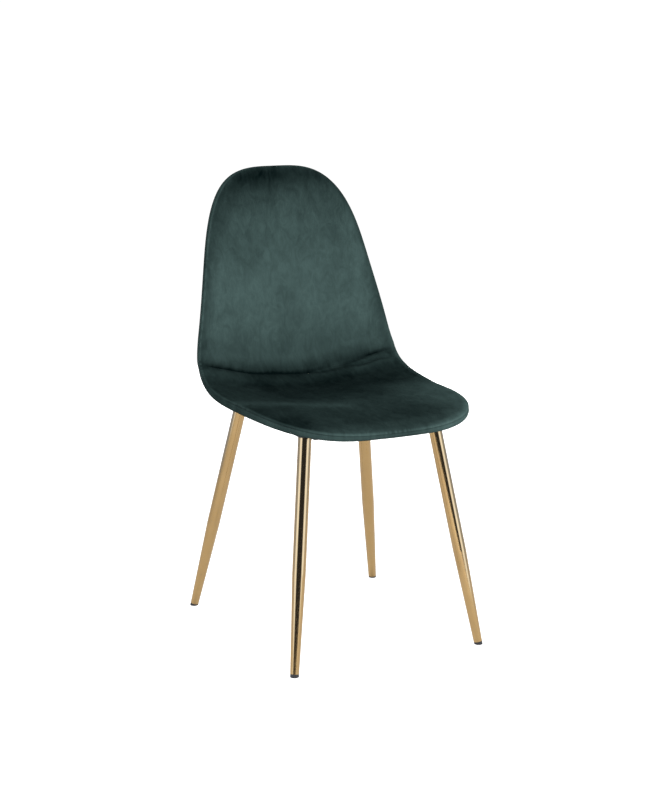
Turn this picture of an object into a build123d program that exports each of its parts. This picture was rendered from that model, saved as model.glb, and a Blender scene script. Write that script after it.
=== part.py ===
from build123d import *
from scipy.interpolate import CubicSpline
import math
import numpy as np
import os

# Dining chair: a one-piece upholstered shell on a welded under-seat frame and four splayed, tapered legs.
# Frame: +Z up, the sitter looks along -Y, and left and right are the sitter's, so +X is left.
# The origin is on the floor, at the centre of the chair's bounding box. Millimetres.

# ---------------------------------------------------------------- driving dimensions
Y_CENTRE = 20.0            # the figures below are drawn about the feet; this recentres them on the box

# The shell is swept along its rim line, seen from the side, from ahead of the seat to above the back.
# Each station also has the lateral dish, the half-width that dish is measured at, the foam's crown
# over it, and how much thinner than elsewhere the foam is.
RIM_STATIONS = [
    # y, z, dish, half-width, crown, thinning
    (-285, 436.0, 7, 205, 0, 4.4),
    (-205, 452.5, 9, 208, 3, 4.4),
    (-110, 461.0, 16, 210, 10, 2.0),
    (-20, 463.0, 21, 212, 13, 0.3),
    (50, 466.0, 26, 214, 12, 0),
    (100, 475.0, 33, 216, 7, 0),
    (134, 492.0, 40, 215, 2, 0),
    (152, 515.0, 43, 211, 1, 0),
    (167, 568.0, 41, 200, 8, 0),
    (197, 684.0, 34, 177, 13, 0),
    (226, 790.0, 29, 157, 10, 0),
    (262, 915.0, 24, 150, 4, 0),
]
SECTION_COUNT = 33         # even sections drawn through the stations
SHEET_REACH = 240.0        # the layers are drawn this far out each side, then trimmed

FABRIC = 1.5               # velvet with its backing
RIM_FOAM = 5.0             # foam between ply and velvet at the rim
PLY_THICKNESS = 8.0
REAR_WADDING = 2.0
GLUE_LINE = 0.05           # gap between neighbouring pieces that are glued, pressed or welded

SEAT_FRONT_Y = -251.0
SEAT_SIDE_Y = -20.0        # the front of the seat rounds off ahead of this
SEAT_HALF_WIDTH = 210.0
SEAT_FRONT_POWER = 3.2
HIP_HALF_WIDTH, HIP_Y = 215.5, 100.0        # widest place, where the seat sweeps up into the back
WAIST_HALF_WIDTH, WAIST_Y, WAIST_Z = 210.5, 152.0, 515.0    # where the back starts

BACK_LEAN = 14.6           # degrees from upright
BACK_TAPER = 0.200         # half-width lost per mm up the back
HIP_TAPER = 0.130          # and below the waist
BACK_ROUND_START = 170.0   # along the back, above the waist
BACK_LENGTH = 368.0
BACK_ROUND_POWER = 3.35
CREASE_Y, CREASE_Z, CREASE_TILT = 147.0, 505.0, 58.0    # where the seat and back pads meet

LEG_RADIUS = 12.5
LEG_FOOT_RADIUS = 8.2
LEG_WALL = 1.5
LEG_TAPER_LENGTH = 177.0
LEG_TOP_Z = 421.5
FRONT_FOOT, FRONT_SLOPE = (191.5, -223.5), (0.141, 0.184)    # foot on the floor; run inwards per unit rise
REAR_FOOT, REAR_SLOPE = (202.0, 223.5), (0.168, 0.199)
GLIDE_HEIGHT = 5.0         # tube end above the floor, along the leg
GLIDE_RADIUS = 8.0
GLIDE_PLUG = 14.0

RAIL_WIDTH, RAIL_HEIGHT, RAIL_WALL = 20.0, 10.0, 1.5
SIDE_RAIL_X = 108.0
SIDE_RAIL_Y = (-151.0, 150.0)
CROSS_RAIL_Y = (-115.0, 95.0)
CAP_FLANGE, CAP_PLUG = 2.0, 8.0

PLATE_THICKNESS = 3.0
PLATE_X = (94.0, 150.0)
PLATE_HALF_LENGTH = 18.0
STUB_LENGTH, STUB_GAP = 30.0, 0.15
SET_SCREW_LENGTH, SET_SCREW_DROP = 7.0, 18.0

FRAME_BOLT_Y = (-85.0, 55.0)
M6_RADIUS, M6_HEAD_RADIUS, M6_HEAD_HEIGHT, M6_KEY = 3.0, 5.0, 3.5, 4.0
CLEARANCE_RADIUS = 3.3
THREAD_RADIUS = 3.05
WASHER_RADIUS, WASHER_THICKNESS = 7.0, 1.6
SPACER_RADIUS = 8.0
T_NUT_RADIUS, T_NUT_FLANGE, T_NUT_BARREL_RADIUS, T_NUT_BARREL = 9.0, 1.2, 4.0, 4.8


# ---------------------------------------------------------------- small helpers
def upright(radius, bottom, top, x=0.0, y=0.0):
    """Vertical cylinder between two heights."""
    return extrude(Plane((x, y, bottom)) * Circle(radius), top - bottom)


def block(x_range, y_range, z_range):
    """Box between pairs of coordinates."""
    spans = [high - low for low, high in (x_range, y_range, z_range)]
    return Pos(x_range[0], y_range[0], z_range[0]) * Box(*spans, align=Align.MIN)


def span_over(shape, x, y):
    """Lowest and highest heights at which an upright line through (x, y) meets the shape."""
    hits = shape.intersect(Edge.make_line((x, y, 0), (x, y, 1000)))
    heights = [v.Z for edge in hits.edges() for v in edge.vertices()]
    return min(heights), max(heights)


# ---------------------------------------------------------------- shell layers
def rim_sections():
    """Even section planes along the rim line, x to the left and y square to the line, with their figures."""
    stations = np.array(RIM_STATIONS, float)
    steps = np.hypot(np.diff(stations[:, 0]), np.diff(stations[:, 1]))
    run = np.concatenate([[0], np.cumsum(steps)])
    figures = CubicSpline(run, stations)
    sections = []
    for s in np.linspace(0, run[-1], SECTION_COUNT):
        y, z, *shape = figures(s)
        forward_y, forward_z = figures(s, 1)[:2]
        plane = Plane(origin=(0, y - Y_CENTRE, z), x_dir=(1, 0, 0), z_dir=(0, -forward_y, -forward_z))
        sections.append((plane, *shape))
    return sections


def arch(plane, height, depth, half_width):
    """Parabola across a section: `height` at the half-width, and `depth` lower in the middle."""
    foot = height - depth
    rise = depth * (SHEET_REACH / half_width) ** 2
    points = [(-SHEET_REACH, foot + rise), (0, foot - rise), (SHEET_REACH, foot + rise)]
    return Edge.make_bezier(*[plane.from_local_coords(Vector(x, h, 0)) for x, h in points])


def space_above(height, crown_share=0):
    """All the room on the sitter's side of the surface at a height from the rim line.

    Crown share 1 is a surface over the foam, and 0 one under it, which rises where the foam is thinner.
    """
    wires = []
    for plane, dish, half_width, crown, thinning in rim_sections():
        level = height + (1 - crown_share) * thinning
        wires.append(Wire([arch(plane, level, dish - crown_share * crown, half_width)]))
    return extrude(Shell.make_loft(wires).faces()[0], 700, dir=(0, -1, 1))


def mirrored_outline(right_half, far):
    """Closed face from points that start on the centre line and run down the right, closed off at `far`."""
    left_half = [(-x, y) for x, y in reversed(right_half[1:])]
    curve = Spline(*left_half, *right_half)
    end, start = right_half[-1], left_half[0]
    corners = [end, (end[0], far), (start[0], far), start]
    lines = [Line(a, b) for a, b in zip(corners, corners[1:])]
    return make_face([curve, *lines])


def rounded_end(half_width, length, power):
    """Points of a quarter superellipse, (x, distance short of the far end), from the far end to the side."""
    angles = [math.radians(a) for a in (0, 8, 20, 34, 48, 60, 70, 79, 90)]
    return [(half_width * math.sin(a) ** (2 / power), length * max(math.cos(a), 0) ** (2 / power))
            for a in angles]


def plan_prism(inset):
    """Upright prism with the outline of the seat from above."""
    length = SEAT_SIDE_Y - SEAT_FRONT_Y - inset
    front = rounded_end(SEAT_HALF_WIDTH - inset, length, SEAT_FRONT_POWER)
    points = [(x, SEAT_SIDE_Y - reach) for x, reach in front]
    points += [(HIP_HALF_WIDTH - inset, HIP_Y), (WAIST_HALF_WIDTH - inset, WAIST_Y)]
    points = [(x, y - Y_CENTRE) for x, y in points]
    return extrude(Plane((0, 0, 650)) * mirrored_outline(points, 420), 350, both=True)


def back_prism(inset):
    """Prism square to the back with the outline of the back; it stays clear of the seat."""
    lean = math.radians(BACK_LEAN)
    up = Vector(0, math.sin(lean), math.cos(lean))
    half_width = WAIST_HALF_WIDTH - inset
    points = []
    rounding = BACK_LENGTH - BACK_ROUND_START - inset
    for share, reach in rounded_end(1.0, rounding, BACK_ROUND_POWER):
        height = BACK_ROUND_START + reach
        points.append((share * (half_width - BACK_TAPER * height), height))
    points += [(half_width - BACK_TAPER * height, height) for height in (80, 0)]
    points.append((half_width + HIP_TAPER * 260, -260))
    origin = Vector(0, WAIST_Y - Y_CENTRE, WAIST_Z)
    plane = Plane(origin=origin, x_dir=(1, 0, 0), z_dir=Vector(1, 0, 0).cross(up))
    return extrude(plane * mirrored_outline(points, -300), 500, both=True)


def outline(inset):
    """Everything inside the chair's outline, less an inset all round."""
    return plan_prism(inset) & back_prism(inset)


def layer(room, low, high, low_crown=0, high_crown=0):
    """The part of the room between two surfaces."""
    return (room & space_above(low, low_crown)) - space_above(high, high_crown)


def crease_plane(shift):
    """Plane between the seat pad and the back pad, moved back by `shift`."""
    tilt = math.radians(CREASE_TILT)
    normal = Vector(0, math.sin(tilt), math.cos(tilt))
    return Plane(origin=Vector(0, CREASE_Y - Y_CENTRE, CREASE_Z) + normal * shift, z_dir=normal)


def shell_layers():
    """Front and rear covers, wadding, ply and the two pads, from the outside in."""
    full, inner = outline(0), outline(FABRIC + GLUE_LINE)
    ply_top = -FABRIC - RIM_FOAM
    ply_bottom = ply_top - PLY_THICKNESS
    wadding_bottom = ply_bottom - REAR_WADDING
    under_front_cover = -FABRIC - GLUE_LINE
    rear_cover = layer(full, wadding_bottom - FABRIC, under_front_cover, 0, 1)
    rear_cover -= outline(FABRIC) & space_above(wadding_bottom)
    foam = layer(inner, ply_top + GLUE_LINE, under_front_cover, 0, 1)
    return {
        "front_cover": layer(full, -FABRIC, 0, 1, 1),
        "rear_cover": rear_cover,
        "rear_wadding": layer(inner, wadding_bottom + GLUE_LINE, ply_bottom - GLUE_LINE),
        "plywood_shell": layer(inner, ply_bottom, ply_top),
        "seat_foam": split(foam, crease_plane(-GLUE_LINE / 2), keep=Keep.BOTTOM),
        "back_foam": split(foam, crease_plane(GLUE_LINE / 2), keep=Keep.TOP),
    }


# ---------------------------------------------------------------- legs
def leg_plane(foot, slope, side):
    """Plane at the foot on the floor, z up the leg and x level, for side +1 (left) or -1."""
    axis = Vector(-side * slope[0], -math.copysign(slope[1], foot[1]), 1).normalized()
    inwards = Vector(-side, 0, 0)
    return Plane(origin=(side * foot[0], foot[1] - Y_CENTRE, 0), x_dir=inwards - axis * inwards.dot(axis),
                 z_dir=axis)


def set_screw_plane(leg):
    """Plane across the leg near its top, z pointing from the axis to the chair's middle."""
    rise = (LEG_TOP_Z - SET_SCREW_DROP) / leg.z_dir.Z
    return Plane(origin=leg.origin + leg.z_dir * rise, x_dir=leg.z_dir, z_dir=leg.x_dir)


def leg_tube(leg):
    """Tapered tube with a level top, and a hole for the set screw."""
    outer = [(LEG_FOOT_RADIUS, GLIDE_HEIGHT), (LEG_RADIUS, GLIDE_HEIGHT + LEG_TAPER_LENGTH),
             (LEG_RADIUS, LEG_TOP_Z + 30)]
    inner = [(radius - LEG_WALL, height) for radius, height in reversed(outer)]
    wall = make_face(Polyline(*outer, *inner, close=True))
    tube = leg * revolve(Plane.XZ * wall, Axis.Z)
    tube &= block((-400, 400), (-400, 400), (0, LEG_TOP_Z))
    hole = extrude(set_screw_plane(leg) * Circle(CLEARANCE_RADIUS), LEG_RADIUS + 5)
    return tube - hole


def foot_glide(leg):
    """Push-in glide: a tapered plug in the tube and a head worn flat on the floor."""
    slope = (LEG_RADIUS - LEG_FOOT_RADIUS) / LEG_TAPER_LENGTH
    plug_radius = LEG_FOOT_RADIUS - LEG_WALL - 2 * GLUE_LINE
    head_top = GLIDE_HEIGHT - GLUE_LINE
    outline = [(0, -10), (GLIDE_RADIUS, -10), (GLIDE_RADIUS, head_top), (plug_radius, head_top),
               (plug_radius + slope * GLIDE_PLUG, head_top + GLIDE_PLUG), (0, head_top + GLIDE_PLUG)]
    glide = leg * revolve(Plane.XZ * make_face(Polyline(*outline, close=True)), Axis.Z)
    return glide & block((-400, 400), (-400, 400), (0, 100))


def leg_socket(leg, side):
    """Plate welded over the side rail, with a stub that the leg slides over."""
    top_centre = leg.origin + leg.z_dir * (LEG_TOP_Z / leg.z_dir.Z)
    low = LEG_TOP_Z + GLUE_LINE
    x_range = sorted(side * x for x in PLATE_X)
    y_range = (top_centre.Y - PLATE_HALF_LENGTH, top_centre.Y + PLATE_HALF_LENGTH)
    plate = block(x_range, y_range, (low, low + PLATE_THICKNESS))
    plate = fillet(plate.edges().filter_by(Axis.Z), 5)
    top = LEG_TOP_Z / leg.z_dir.Z
    stub = leg * Pos(0, 0, top - STUB_LENGTH) * Cylinder(
        LEG_RADIUS - LEG_WALL - STUB_GAP, STUB_LENGTH + 20, align=(Align.CENTER, Align.CENTER, Align.MIN))
    stub &= block((-400, 400), (-400, 400), (0, low + PLATE_THICKNESS))
    screw = extrude(set_screw_plane(leg) * Circle(THREAD_RADIUS), LEG_RADIUS)
    return plate + stub - screw


def set_screw(leg):
    """Socket set screw, flush with the tube."""
    plane = set_screw_plane(leg)
    start = LEG_RADIUS - SET_SCREW_LENGTH
    body = extrude(plane.offset(start) * Circle(M6_RADIUS), SET_SCREW_LENGTH)
    key = extrude(plane.offset(LEG_RADIUS - 2.5) * RegularPolygon(1.5, 6), 5)
    return body - key


# ---------------------------------------------------------------- under-seat frame
def side_rail(side):
    """Fore-and-aft tube with holes for the two bolts."""
    x = side * SIDE_RAIL_X
    low = LEG_TOP_Z - RAIL_HEIGHT
    y_range = [y - Y_CENTRE for y in SIDE_RAIL_Y]
    outer = block((x - RAIL_WIDTH / 2, x + RAIL_WIDTH / 2), y_range, (low, LEG_TOP_Z))
    outer = fillet(outer.edges().filter_by(Axis.Y), 2)
    half = RAIL_WIDTH / 2 - RAIL_WALL
    bore = block((x - half, x + half), (-300, 300), (low + RAIL_WALL, LEG_TOP_Z - RAIL_WALL))
    rail = outer - bore
    for y in FRAME_BOLT_Y:
        rail -= upright(CLEARANCE_RADIUS, low - 5, LEG_TOP_Z + 5, x, y - Y_CENTRE)
    return rail


def cross_rail(y):
    """Tube welded between the two side rails."""
    half_span = SIDE_RAIL_X - RAIL_WIDTH / 2 - GLUE_LINE
    low = LEG_TOP_Z - RAIL_HEIGHT
    middle = y - Y_CENTRE
    outer = block((-half_span, half_span), (middle - RAIL_WIDTH / 2, middle + RAIL_WIDTH / 2), (low, LEG_TOP_Z))
    outer = fillet(outer.edges().filter_by(Axis.X), 2)
    half = RAIL_WIDTH / 2 - RAIL_WALL
    return outer - block((-300, 300), (middle - half, middle + half), (low + RAIL_WALL, LEG_TOP_Z - RAIL_WALL))


def end_cap(side, end, direction):
    """Plastic plug in one end of a side rail; direction -1 closes the front end."""
    middle_z = LEG_TOP_Z - RAIL_HEIGHT / 2
    start = end - Y_CENTRE + direction * GLUE_LINE
    plane = Plane(origin=(side * SIDE_RAIL_X, start, middle_z), x_dir=(1, 0, 0), z_dir=(0, direction, 0))
    flange = extrude(plane * RectangleRounded(RAIL_WIDTH, RAIL_HEIGHT, 2), CAP_FLANGE)
    play = 2 * (RAIL_WALL + 2 * GLUE_LINE)
    plug = extrude(plane * Rectangle(RAIL_WIDTH - play, RAIL_HEIGHT - play), -CAP_PLUG)
    return flange + plug


# ---------------------------------------------------------------- fasteners between frame and shell
def bolt_places():
    """The four upright bolt axes, (x, y)."""
    return [(side * SIDE_RAIL_X, y - Y_CENTRE) for side in (-1, 1) for y in FRAME_BOLT_Y]


def t_nut(x, y, flange_top):
    """Flanged nut pressed into the ply from above."""
    flange_bottom = flange_top - T_NUT_FLANGE
    nut = upright(T_NUT_RADIUS, flange_bottom, flange_top, x, y)
    nut += upright(T_NUT_BARREL_RADIUS, flange_bottom - T_NUT_BARREL, flange_bottom, x, y)
    return nut - upright(THREAD_RADIUS, flange_top - 20, flange_top + 5, x, y)


def t_nut_pocket(x, y, flange_top):
    """Room for a T-nut and its bolt in the ply."""
    flange_bottom = flange_top - T_NUT_FLANGE - GLUE_LINE
    pocket = upright(T_NUT_RADIUS + GLUE_LINE, flange_bottom, flange_top + 10, x, y)
    barrel_bottom = flange_bottom - T_NUT_BARREL - GLUE_LINE
    pocket += upright(T_NUT_BARREL_RADIUS + GLUE_LINE, barrel_bottom, flange_bottom + 1, x, y)
    return pocket + upright(CLEARANCE_RADIUS, flange_top - 40, flange_bottom, x, y)


def frame_bolt(x, y, tip):
    """Button-head screw from under the rail up to the tip height."""
    seat = LEG_TOP_Z - RAIL_HEIGHT - WASHER_THICKNESS - 2 * GLUE_LINE
    bolt = upright(M6_RADIUS, seat, tip, x, y)
    head = upright(M6_HEAD_RADIUS, seat - M6_HEAD_HEIGHT, seat, x, y)
    head = fillet(head.edges().group_by(Axis.Z)[0], 1.5)
    key = extrude(Plane((x, y, seat - M6_HEAD_HEIGHT)) * RegularPolygon(M6_KEY / 2, 6), 2)
    return bolt + head - key


def washer(x, y):
    """Flat washer between a bolt head and the rail."""
    top = LEG_TOP_Z - RAIL_HEIGHT - GLUE_LINE
    ring = upright(WASHER_RADIUS, top - WASHER_THICKNESS, top, x, y)
    return ring - upright(CLEARANCE_RADIUS, top - 10, top + 10, x, y)


def spacer(x, y, shell_space):
    """Nylon sleeve from the rail's top to the shell, its upper end cut to the shell's curve."""
    low = LEG_TOP_Z + GLUE_LINE
    sleeve = upright(SPACER_RADIUS, low, low + 25, x, y) - upright(CLEARANCE_RADIUS, low - 5, low + 30, x, y)
    return sleeve - shell_space


# ---------------------------------------------------------------- assembly
def upholstered_shell_and_fasteners():
    """Shell layers bored for the four bolts, with everything on those bolts."""
    layers = shell_layers()
    cover_bottom = -FABRIC - RIM_FOAM - PLY_THICKNESS - REAR_WADDING - FABRIC
    shell_space = space_above(cover_bottom - GLUE_LINE)
    fasteners = {"t_nuts": [], "frame_bolts": [], "frame_washers": [], "frame_spacers": []}
    for x, y in bolt_places():
        ply_top = span_over(layers["plywood_shell"], x, y)[1]
        flange_top = ply_top - 1.2
        layers["plywood_shell"] -= t_nut_pocket(x, y, flange_top)
        hole = upright(CLEARANCE_RADIUS, LEG_TOP_Z - 20, ply_top - PLY_THICKNESS / 2, x, y)
        layers["rear_wadding"] -= hole
        layers["rear_cover"] -= hole
        fasteners["t_nuts"].append(t_nut(x, y, flange_top))
        fasteners["frame_bolts"].append(frame_bolt(x, y, flange_top - 0.3))
        fasteners["frame_washers"].append(washer(x, y))
        fasteners["frame_spacers"].append(spacer(x, y, shell_space))
    return {**layers, **fasteners}


def legs_and_sockets():
    """Each leg with its glide, socket and set screw."""
    nodes = {"leg_set_screws": []}
    for end, foot, slope in (("front", FRONT_FOOT, FRONT_SLOPE), ("rear", REAR_FOOT, REAR_SLOPE)):
        for side_name, side in (("left", 1), ("right", -1)):
            leg = leg_plane(foot, slope, side)
            name = f"{end}_{side_name}"
            nodes[f"{name}_leg"] = leg_tube(leg)
            nodes[f"{name}_foot_glide"] = foot_glide(leg)
            nodes[f"{name}_leg_socket"] = leg_socket(leg, side)
            nodes["leg_set_screws"].append(set_screw(leg))
    return nodes


def under_frame():
    """Two side rails, two cross rails and four end caps."""
    caps = [end_cap(side, end, direction) for side in (-1, 1) for end, direction in zip(SIDE_RAIL_Y, (-1, 1))]
    return {
        "left_side_rail": side_rail(1),
        "right_side_rail": side_rail(-1),
        "front_cross_rail": cross_rail(CROSS_RAIL_Y[0]),
        "rear_cross_rail": cross_rail(CROSS_RAIL_Y[1]),
        "rail_end_caps": caps,
    }


def write_nodes(nodes):
    """One STEP file per node; a list becomes a group of separate solids."""
    os.makedirs("parts", exist_ok=True)
    for name, shape in nodes.items():
        solids = [s for piece in (shape if isinstance(shape, list) else [shape]) for s in piece.solids()]
        export_step(solids[0] if len(solids) == 1 else Compound(children=solids), f"parts/{name}.step")


write_nodes({**upholstered_shell_and_fasteners(), **under_frame(), **legs_and_sockets()})
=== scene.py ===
import math

import bpy
import numpy as np
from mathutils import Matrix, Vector


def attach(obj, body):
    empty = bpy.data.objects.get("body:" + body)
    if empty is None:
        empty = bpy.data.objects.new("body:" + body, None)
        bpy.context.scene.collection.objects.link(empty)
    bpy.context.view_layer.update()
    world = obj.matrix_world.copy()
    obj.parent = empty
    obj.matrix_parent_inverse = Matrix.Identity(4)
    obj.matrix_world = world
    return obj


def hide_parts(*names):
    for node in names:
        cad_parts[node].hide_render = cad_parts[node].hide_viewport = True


# Dining chair in metres: +Z up, the sitter looks along -Y, +X is the sitter's left, the floor is at z = 0.
# The velvet covers, foam pads and wadding are drawn here; every other piece is the CAD's own.
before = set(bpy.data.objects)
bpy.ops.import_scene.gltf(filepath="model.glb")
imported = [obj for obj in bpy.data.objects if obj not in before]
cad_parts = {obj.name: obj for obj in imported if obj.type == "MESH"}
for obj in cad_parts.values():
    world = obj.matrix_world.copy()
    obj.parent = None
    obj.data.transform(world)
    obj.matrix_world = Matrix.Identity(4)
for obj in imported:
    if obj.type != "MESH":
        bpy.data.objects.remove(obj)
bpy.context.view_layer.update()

# ---------------------------------------------------------------- the shell's shape, as in the CAD, in metres
Y_CENTRE = 0.020
MM = 0.001
# rim line seen from the side, front to top:
# y, z, lateral dish, half-width at which that dish is measured, crown of the foam, thinning of the foam
RIM_STATIONS = MM * np.array([
    (-285, 436.0, 7, 205, 0, 4.4),
    (-205, 452.5, 9, 208, 3, 4.4),
    (-110, 461.0, 16, 210, 10, 2.0),
    (-20, 463.0, 21, 212, 13, 0.3),
    (50, 466.0, 26, 214, 12, 0),
    (100, 475.0, 33, 216, 7, 0),
    (134, 492.0, 40, 215, 2, 0),
    (152, 515.0, 43, 211, 1, 0),
    (167, 568.0, 41, 200, 8, 0),
    (197, 684.0, 34, 177, 13, 0),
    (226, 790.0, 29, 157, 10, 0),
    (262, 915.0, 24, 150, 4, 0),
])
SHELL_THICKNESS = 0.018
SEAT_FRONT_Y, SEAT_SIDE_Y = -0.251, -0.020
SEAT_HALF_WIDTH, SEAT_FRONT_POWER = 0.210, 3.2
HIP_HALF_WIDTH, HIP_Y = 0.2155, 0.100
WAIST_HALF_WIDTH, WAIST_Y, WAIST_Z = 0.2105, 0.152, 0.515
BACK_LEAN, BACK_TAPER = math.radians(14.6), 0.200
BACK_ROUND_START, BACK_LENGTH, BACK_ROUND_POWER = 0.170, 0.368, 3.35
# where, along the rim line, heights turn from upright to square to the shell, and then square to the back
SEAT_END, BACK_START = (0.20, 0.33), (0.52, 0.60)


def cubic_spline(knots, rows):
    """Function giving the values and slopes of the not-a-knot cubic spline through the rows."""
    step = np.diff(knots)
    slope = np.diff(rows, axis=0) / step[:, None]
    n = len(knots)
    lhs = np.zeros((n, n))
    rhs = np.zeros(rows.shape)
    for i in range(1, n - 1):
        lhs[i, i - 1:i + 2] = step[i], 2 * (step[i - 1] + step[i]), step[i - 1]
        rhs[i] = 3 * (step[i] * slope[i - 1] + step[i - 1] * slope[i])
    for end, one, two in ((0, 0, 1), (-1, -1, -2)):
        both = step[one] + step[two]
        lhs[end, end] = step[two]
        lhs[end, two if end else 1] = both
        rhs[end] = ((step[one] + 2 * both) * step[two] * slope[one] + step[one] ** 2 * slope[two]) / both
    gradient = np.linalg.solve(lhs, rhs)

    def evaluate(s):
        s = np.asarray(s, float)
        i = np.clip(np.searchsorted(knots, s) - 1, 0, n - 2)
        h = step[i][..., None]
        t = ((s - knots[i])[..., None]) / h
        p0, p1, m0, m1 = rows[i], rows[i + 1], gradient[i] * h, gradient[i + 1] * h
        value = ((1 + 2 * t) * p0 + t * m0) * (1 - t) ** 2 + ((3 - 2 * t) * p1 + (t - 1) * m1) * t ** 2
        rate = (6 * t * (t - 1) * (p0 - p1) + (1 - t) * (1 - 3 * t) * m0 + t * (3 * t - 2) * m1) / h
        return value, rate

    return evaluate


def smooth_step(low, high, value):
    """0 up to low, 1 from high, and smooth between; low may be the larger."""
    t = np.clip((value - low) / (high - low), 0, 1)
    return t * t * (3 - 2 * t)


run = np.concatenate([[0], np.cumsum(np.hypot(np.diff(RIM_STATIONS[:, 0]), np.diff(RIM_STATIONS[:, 1])))])
rim_line = cubic_spline(run, RIM_STATIONS)


def shell_point(s, x, height, over_foam):
    """Points at distance s along the rim line, x across and a height over the rim.

    over_foam is 1 on surfaces that follow the foam's crown, and 0 on those under the foam. Points that
    differ in height alone lie on one upright line in the seat, and square to the back in the back.
    """
    value, rate = rim_line(s)
    slant = np.arctan2(rate[..., 1], rate[..., 0])
    off_square = (1 - smooth_step(*SEAT_END, s)) * np.tan(slant)
    off_square += smooth_step(*BACK_START, s) * np.tan(slant - math.pi / 2 + BACK_LEAN)
    bow = 1 - (x / value[..., 3]) ** 2
    s = s + off_square * (height + (1 - over_foam) * (value[..., 5] - value[..., 4] * bow))
    value, rate = rim_line(s)
    y, z, dish, half_width, crown, thinning = np.moveaxis(value, -1, 0)
    length = np.hypot(rate[..., 0], rate[..., 1])
    forward, up = rate[..., 0] / length, rate[..., 1] / length
    level = height + (1 - over_foam) * thinning - (dish - over_foam * crown) * (1 - (x / half_width) ** 2)
    return np.stack([x + 0 * y, y - Y_CENTRE - up * level, z + forward * level], axis=-1)


def half_outline():
    """Dense (s, x) points of the rim's +X half, from the front's centre to the top's centre."""
    grid = np.linspace(0, run[-1], 3000)
    angle = np.linspace(0.002, math.pi / 2, 240)
    points = []
    length = SEAT_SIDE_Y - SEAT_FRONT_Y
    front_x = SEAT_HALF_WIDTH * np.sin(angle) ** (2 / SEAT_FRONT_POWER)
    front_y = SEAT_SIDE_Y - length * np.maximum(np.cos(angle), 0) ** (2 / SEAT_FRONT_POWER)
    side_y = np.linspace(SEAT_SIDE_Y, WAIST_Y, 80)[1:]
    bow = np.polyfit([SEAT_SIDE_Y, HIP_Y, WAIST_Y], [SEAT_HALF_WIDTH, HIP_HALF_WIDTH, WAIST_HALF_WIDTH], 2)
    for x, y in zip(np.append(front_x, np.polyval(bow, side_y)), np.append(front_y, side_y)):
        across = shell_point(grid, x, 0, 1)[:, 1] + Y_CENTRE
        points.append((np.interp(y, across, grid), x))
    rounding = BACK_LENGTH - BACK_ROUND_START
    share = np.maximum(np.sin(angle[::-1]), 0) ** (2 / BACK_ROUND_POWER)
    climb = BACK_ROUND_START + rounding * np.maximum(np.cos(angle[::-1]), 0) ** (2 / BACK_ROUND_POWER)
    share = np.append(np.ones(60), share)
    climb = np.append(np.linspace(0, BACK_ROUND_START, 61)[1:], climb)
    for part, t in zip(share, climb):
        x = part * (WAIST_HALF_WIDTH - BACK_TAPER * t)
        place = shell_point(grid, x, 0, 1)
        along = (place[:, 1] + Y_CENTRE - WAIST_Y) * math.sin(BACK_LEAN)
        along += (place[:, 2] - WAIST_Z) * math.cos(BACK_LEAN)
        points.append((np.interp(t, along, grid), x))
    points = np.array(points)
    return points[np.append(True, np.hypot(*np.diff(points, axis=0).T) > 1e-5)]


# ---------------------------------------------------------------- grids over the shell
# Rows run from the front to the top and columns from -X to +X, so a grid's left side is at -X.
CORNER_FRONT_S, CORNER_TOP_S = 0.0665, 0.7935      # where the four sides of the grid meet on the rim
ACROSS = 150                                       # grid points from side to side
EDGE_ZONE = 0.026                                  # width of the rings that follow the rim


def crease_s(x):
    """Distance along the shell of the crease between seat and back."""
    return 0.4310 + 0.35 * x ** 2


def spread(low, high, coarse, fine_at=None, fine=0.0012, reach=0.030):
    """Points from low to high, spaced coarsely but finely near one place."""
    points = [low]
    while points[-1] < high:
        step = coarse
        if fine_at is not None:
            near = min(abs(points[-1] - fine_at) / reach, 1)
            step = fine + (coarse - fine) * near ** 2
        points.append(points[-1] + step)
    points = np.array(points)
    return low + (points - low) * (high - low) / (points[-1] - low)


def coons(bottom, top, left, right):
    """Grid of (s, x) points filling the space between four matching curves."""
    u = np.linspace(0, 1, len(bottom))[None, :, None]
    along = left[:, 0] - left[0, 0]
    v = (along / along[-1])[:, None, None]
    sides = (1 - u) * left[:, None] + u * right[:, None]
    ends = (1 - v) * bottom[None] + v * top[None]
    corners = ((1 - u) * (1 - v) * bottom[0] + u * (1 - v) * bottom[-1]
               + (1 - u) * v * top[0] + u * v * top[-1])
    return sides + ends - corners


def grid_quads(rows, columns):
    """Quads between neighbouring points of a grid, by index."""
    index = np.arange(rows * columns).reshape(rows, columns)
    corners = [index[:-1, :-1], index[:-1, 1:], index[1:, 1:], index[1:, :-1]]
    return np.stack(corners, axis=-1).reshape(-1, 4)


def loop_of(rows, columns):
    """Indices of a grid's boundary, once round: front, right, top, left."""
    index = np.arange(rows * columns).reshape(rows, columns)
    return np.concatenate([index[0], index[1:, -1], index[-1, -2::-1], index[-2:0:-1, 0]])


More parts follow.
